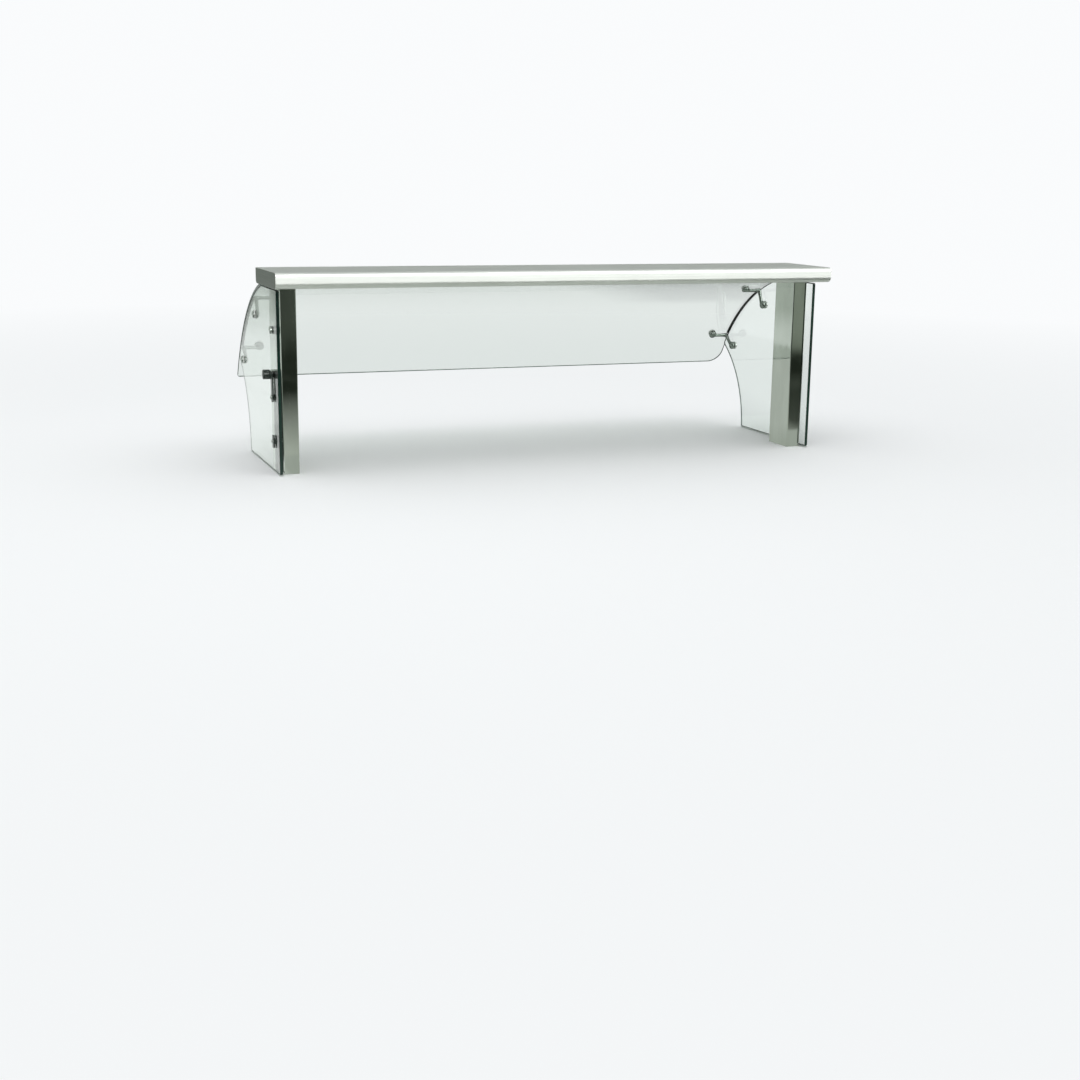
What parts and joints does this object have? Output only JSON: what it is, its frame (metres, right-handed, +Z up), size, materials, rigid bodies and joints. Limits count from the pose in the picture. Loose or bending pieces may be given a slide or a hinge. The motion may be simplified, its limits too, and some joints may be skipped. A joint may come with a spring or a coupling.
{
  "type": "sneeze guard",
  "caption": "Counter-top sneeze guard: a bent front glass and flat end glasses on corner brackets, under a stainless overshelf carried by rectangular tube posts.",
  "frame": {"origin": "middle of the footprint, at the level of the worktop that the guard stands on", "axes": "+X to the operator's right, +Y towards the customer, +Z up"},
  "size_m": [1.5232, 0.6096, 0.497],
  "materials": {
    "satin_steel": "fine satin, folded sheet",
    "mirror_steel": "mirror polished tube",
    "zinc_steel": "zinc plated, dull",
    "chrome": "chrome plating with a grey tone",
    "dark_metal": "smooth dark coating, slightly glossy",
    "clear_glass": "clear toughened glass with ground edges, green in the thickness",
    "clear_plastic": "translucent soft strip",
    "white_nylon": "moulded nylon",
    "black_rubber": "matt black"
  },
  "bodies": {
    "root": {"overshelf": "satin_steel", "shelf_stiffener_front": "satin_steel", "shelf_stiffener_back": "satin_steel", "post_left": "mirror_steel", "post_foot_left": "zinc_steel", "post_head_left": "zinc_steel", "head_bolt_left_front": "zinc_steel", "head_bolt_left_back": "zinc_steel", "end_glass_left": "clear_glass", "foot_strip_left": "clear_plastic", "post_stud_left": "chrome", "patch_bolt_left": "chrome", "foot_bolt_left": "chrome", "patch_plate_left": "dark_metal", "cap_bolt_left": "dark_metal", "foot_patch_left": "dark_metal", "corner_seal_left": "black_rubber", "stud_spacer_left": "black_rubber", "edge_spacer_left": "black_rubber", "cap_spacer_left": "black_rubber", "corner_bracket_left_lower": "chrome", "corner_bracket_left_upper": "chrome", "post_right": "mirror_steel", "post_foot_right": "zinc_steel", "post_head_right": "zinc_steel", "head_bolt_right_front": "zinc_steel", "head_bolt_right_back": "zinc_steel", "end_glass_right": "clear_glass", "foot_strip_right": "clear_plastic", "post_stud_right": "chrome", "patch_bolt_right": "chrome", "foot_bolt_right": "chrome", "patch_plate_right": "dark_metal", "cap_bolt_right": "dark_metal", "foot_patch_right": "dark_metal", "corner_seal_right": "black_rubber", "stud_spacer_right": "black_rubber", "edge_spacer_right": "black_rubber", "cap_spacer_right": "black_rubber", "corner_bracket_right_lower": "chrome", "corner_bracket_right_upper": "chrome", "front_glass": "clear_glass"},
    "front_washer_left_lower": {"front_washer_left_lower": "white_nylon"},
    "front_screw_left_lower": {"front_screw_left_lower": "chrome"},
    "end_washer_left_lower": {"end_washer_left_lower": "white_nylon"},
    "end_screw_left_lower": {"end_screw_left_lower": "chrome"},
    "front_washer_left_upper": {"front_washer_left_upper": "white_nylon"},
    "front_screw_left_upper": {"front_screw_left_upper": "chrome"},
    "end_washer_left_upper": {"end_washer_left_upper": "white_nylon"},
    "end_screw_left_upper": {"end_screw_left_upper": "chrome"},
    "front_washer_right_lower": {"front_washer_right_lower": "white_nylon"},
    "front_screw_right_lower": {"front_screw_right_lower": "chrome"},
    "end_washer_right_lower": {"end_washer_right_lower": "white_nylon"},
    "end_screw_right_lower": {"end_screw_right_lower": "chrome"},
    "front_washer_right_upper": {"front_washer_right_upper": "white_nylon"},
    "front_screw_right_upper": {"front_screw_right_upper": "chrome"},
    "end_washer_right_upper": {"end_washer_right_upper": "white_nylon"},
    "end_screw_right_upper": {"end_screw_right_upper": "chrome"}
  },
  "joints": [
    {"name": "front_travel_left_lower", "type": "slide", "parent": "root", "child": "front_washer_left_lower", "axis": [0, 0.7749, 0.632], "range_m": [0, 0.003]},
    {"name": "front_turn_left_lower", "type": "hinge", "parent": "front_washer_left_lower", "child": "front_screw_left_lower", "pos_m": [-0.683, 0.2379, 0.26898], "axis": [0, 0.7749, 0.632], "range_deg": [0, 1080]},
    {"name": "end_travel_left_lower", "type": "slide", "parent": "root", "child": "end_washer_left_lower", "axis": [-1, 0, 0], "range_m": [0, 0.003]},
    {"name": "end_turn_left_lower", "type": "hinge", "parent": "end_washer_left_lower", "child": "end_screw_left_lower", "pos_m": [-0.733, 0.19915, 0.23737], "axis": [-1, 0, 0], "range_deg": [0, 1080]},
    {"name": "front_travel_left_upper", "type": "slide", "parent": "root", "child": "front_washer_left_upper", "axis": [0, 0.4067, 0.9135], "range_m": [0, 0.003]},
    {"name": "front_turn_left_upper", "type": "hinge", "parent": "front_washer_left_upper", "child": "front_screw_left_upper", "pos_m": [-0.683, 0.04275, 0.41818], "axis": [0, 0.4067, 0.9135], "range_deg": [0, 1080]},
    {"name": "end_travel_left_upper", "type": "slide", "parent": "root", "child": "end_washer_left_upper", "axis": [-1, 0, 0], "range_m": [0, 0.003]},
    {"name": "end_turn_left_upper", "type": "hinge", "parent": "end_washer_left_upper", "child": "end_screw_left_upper", "pos_m": [-0.733, 0.02241, 0.3725], "axis": [-1, 0, 0], "range_deg": [0, 1080]},
    {"name": "front_travel_right_lower", "type": "slide", "parent": "root", "child": "front_washer_right_lower", "axis": [0, 0.7749, 0.632], "range_m": [0, 0.003]},
    {"name": "front_turn_right_lower", "type": "hinge", "parent": "front_washer_right_lower", "child": "front_screw_right_lower", "pos_m": [0.683, 0.2379, 0.26898], "axis": [0, 0.7749, 0.632], "range_deg": [0, 1080]},
    {"name": "end_travel_right_lower", "type": "slide", "parent": "root", "child": "end_washer_right_lower", "axis": [1, 0, 0], "range_m": [0, 0.003]},
    {"name": "end_turn_right_lower", "type": "hinge", "parent": "end_washer_right_lower", "child": "end_screw_right_lower", "pos_m": [0.733, 0.19915, 0.23737], "axis": [1, 0, 0], "range_deg": [0, 1080]},
    {"name": "front_travel_right_upper", "type": "slide", "parent": "root", "child": "front_washer_right_upper", "axis": [0, 0.4067, 0.9135], "range_m": [0, 0.003]},
    {"name": "front_turn_right_upper", "type": "hinge", "parent": "front_washer_right_upper", "child": "front_screw_right_upper", "pos_m": [0.683, 0.04275, 0.41818], "axis": [0, 0.4067, 0.9135], "range_deg": [0, 1080]},
    {"name": "end_travel_right_upper", "type": "slide", "parent": "root", "child": "end_washer_right_upper", "axis": [1, 0, 0], "range_m": [0, 0.003]},
    {"name": "end_turn_right_upper", "type": "hinge", "parent": "end_washer_right_upper", "child": "end_screw_right_upper", "pos_m": [0.733, 0.02241, 0.3725], "axis": [1, 0, 0], "range_deg": [0, 1080]}
  ],
  "couplings": [
    {"joint": "front_travel_left_lower", "follows": "front_turn_left_lower", "m_per_rad": 0.000159},
    {"joint": "end_travel_left_lower", "follows": "end_turn_left_lower", "m_per_rad": 0.000159},
    {"joint": "front_travel_left_upper", "follows": "front_turn_left_upper", "m_per_rad": 0.000159},
    {"joint": "end_travel_left_upper", "follows": "end_turn_left_upper", "m_per_rad": 0.000159},
    {"joint": "front_travel_right_lower", "follows": "front_turn_right_lower", "m_per_rad": 0.000159},
    {"joint": "end_travel_right_lower", "follows": "end_turn_right_lower", "m_per_rad": 0.000159},
    {"joint": "front_travel_right_upper", "follows": "front_turn_right_upper", "m_per_rad": 0.000159},
    {"joint": "end_travel_right_upper", "follows": "end_turn_right_upper", "m_per_rad": 0.000159}
  ]
}
